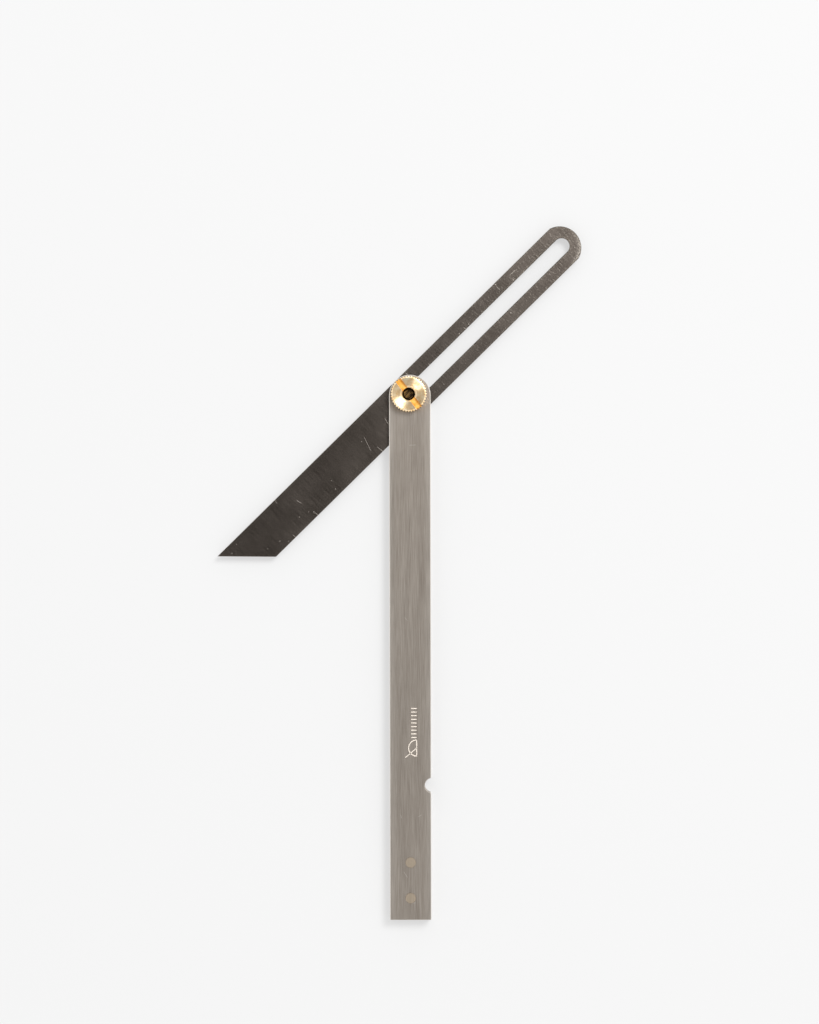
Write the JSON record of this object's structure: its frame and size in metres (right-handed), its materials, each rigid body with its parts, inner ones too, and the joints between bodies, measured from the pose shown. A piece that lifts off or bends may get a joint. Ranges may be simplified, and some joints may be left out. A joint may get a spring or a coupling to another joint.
{
  "type": "sliding bevel",
  "caption": "Flat steel handle with a slotted steel blade that swings and slides on a clamp bolt, held at any angle by a knurled brass thumb nut.",
  "frame": {"origin": "on the clamp bolt's axis, in the plane of the handle's back face, which is also the bolt head's face", "axes": "+Z along the clamp bolt from the back plate to the thumb nut; the handle reaches down -Y from the bolt, and the thumb notch is on its +X edge"},
  "size_m": [0.1762, 0.3348, 0.0126],
  "materials": {
    "handle_steel": "stainless steel plate, belt ground lengthwise",
    "spacer_steel": "stainless steel, milled, not polished",
    "rivet_steel": "stainless steel rivet, peened and ground flush",
    "blade_steel": "hard stainless steel strip, ground across, fine scratches from use",
    "bolt_steel": "dark oiled steel",
    "washer_brass": "brass washer, as stamped",
    "nut_brass": "turned brass with a knurled rim"
  },
  "bodies": {
    "handle": {"back_plate": "handle_steel", "front_plate": "handle_steel", "end_spacer": "spacer_steel", "upper_rivet": "rivet_steel", "lower_rivet": "rivet_steel"},
    "bolt": {"pivot_bolt": "bolt_steel"},
    "blade": {"blade": "blade_steel"},
    "washer": {"clamp_washer": "washer_brass"},
    "nut": {"clamp_nut": "nut_brass"}
  },
  "joints": [
    {"name": "blade_swing", "type": "hinge", "parent": "handle", "child": "bolt", "pos_m": [0, 0, 0.0036], "axis": [0, 0, 1], "range_deg": [-300, 45.5]},
    {"name": "blade_slide", "type": "slide", "parent": "bolt", "child": "blade", "axis": [-0.7133, -0.7009, 0], "range_m": [-0.0025, 0.098]},
    {"name": "nut_lift", "type": "slide", "parent": "bolt", "child": "washer", "axis": [0, 0, 1], "range_m": [0, 0.00125]},
    {"name": "nut_turn", "type": "hinge", "parent": "washer", "child": "nut", "pos_m": [0, 0, 0.0103], "axis": [0, 0, 1], "range_deg": [0, 450.01]}
  ],
  "couplings": [
    {"joint": "nut_turn", "follows": "nut_lift", "rad_per_m": 6283.2}
  ]
}
